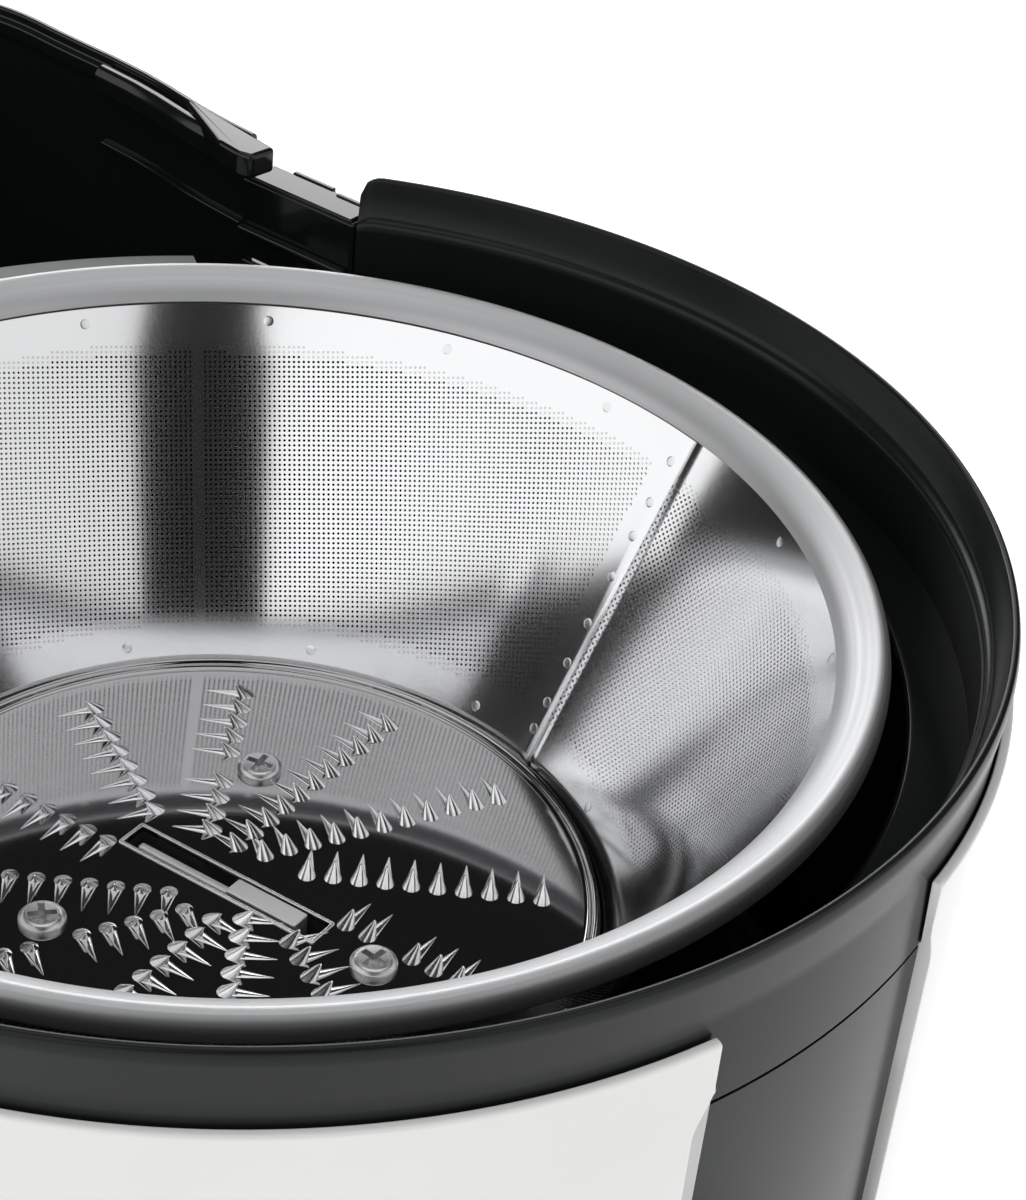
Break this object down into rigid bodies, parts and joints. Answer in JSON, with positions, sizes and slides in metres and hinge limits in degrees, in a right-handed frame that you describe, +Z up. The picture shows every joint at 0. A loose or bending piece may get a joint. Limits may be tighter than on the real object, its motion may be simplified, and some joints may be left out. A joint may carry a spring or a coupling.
{
  "type": "centrifugal juicer",
  "caption": "Open centrifugal juicer: a sieve basket with a grating disc spins in a round bowl on a motor tower, with a pulp container behind and a tilting spout in front.",
  "frame": {"origin": "on the surface that the juicer stands on, under the middle of its overall box", "axes": "+Z up; the front, with the spout and the speed knob, faces -Y; the pulp container slides out towards +Y; the drive axis is upright at x = 0"},
  "size_m": [0.1996, 0.3, 0.2049],
  "materials": {
    "white_panel": "gloss",
    "anthracite_plastic": "satin",
    "black_gloss_plastic": "gloss",
    "inner_plastic": "matt",
    "foot_rubber": "matt",
    "seal_rubber": "matt",
    "sieve_steel": "polished sheet with fine holes",
    "rim_steel": "satin, turned",
    "disc_steel": "mirror polished",
    "screw_steel": "polished",
    "motor_steel": "machined",
    "laminated_steel": "laminated sheets",
    "bearing_bronze": "sintered",
    "copper_wire": "varnished winding",
    "carbon": "matt"
  },
  "bodies": {
    "root": {"lower_housing": "anthracite_plastic", "bowl_shroud": "anthracite_plastic", "container_shelf": "anthracite_plastic", "base_plate": "anthracite_plastic", "rubber_feet": "foot_rubber", "base_screws": "screw_steel", "cord_inlet": "seal_rubber", "front_panel": "anthracite_plastic", "right_side_panel": "white_panel", "left_side_panel": "white_panel", "bowl_seal": "seal_rubber", "juice_bowl": "black_gloss_plastic", "spout_collar": "anthracite_plastic", "rotary_switch": "inner_plastic", "terminal_block": "inner_plastic", "suppression_capacitor": "inner_plastic", "shaft_seal": "seal_rubber", "motor_mounts": "seal_rubber", "motor_screws": "screw_steel", "motor_upper_bracket": "motor_steel", "motor_lower_bracket": "motor_steel", "upper_bearing": "bearing_bronze", "lower_bearing": "bearing_bronze", "stator_core": "laminated_steel", "field_coils": "copper_wire", "brush_holders": "bearing_bronze", "carbon_brushes": "carbon"},
    "rotor": {"motor_shaft": "motor_steel", "armature_core": "laminated_steel", "armature_winding": "copper_wire", "commutator": "copper_wire", "cooling_fan": "inner_plastic", "drive_coupling": "inner_plastic"},
    "basket": {"basket_hub": "black_gloss_plastic", "sieve_cone": "sieve_steel", "sieve_rim": "rim_steel", "grater_disc": "disc_steel", "disc_screws": "screw_steel"},
    "spout": {"drip_spout": "anthracite_plastic"},
    "knob": {"speed_knob": "anthracite_plastic", "knob_shaft": "motor_steel"},
    "container": {"pulp_container": "black_gloss_plastic"}
  },
  "joints": [
    {"name": "rotor_spin", "type": "hinge", "parent": "root", "child": "rotor", "pos_m": [0, -0.022, 0], "axis": [0, 0, 1], "continuous": true},
    {"name": "basket_lift", "type": "slide", "parent": "rotor", "child": "basket", "axis": [0, 0, 1], "range_m": [0, 0.095]},
    {"name": "container_slide", "type": "slide", "parent": "root", "child": "container", "axis": [0, 1, 0], "range_m": [0, 0.12]},
    {"name": "spout_tilt", "type": "hinge", "parent": "root", "child": "spout", "pos_m": [0, -0.1302, 0.1274], "axis": [-1, 0, 0], "range_deg": [0, 60]},
    {"name": "knob_turn", "type": "hinge", "parent": "root", "child": "knob", "pos_m": [0, -0.1215, 0.058], "axis": [0, -1, 0], "range_deg": [0, 90]}
  ]
}
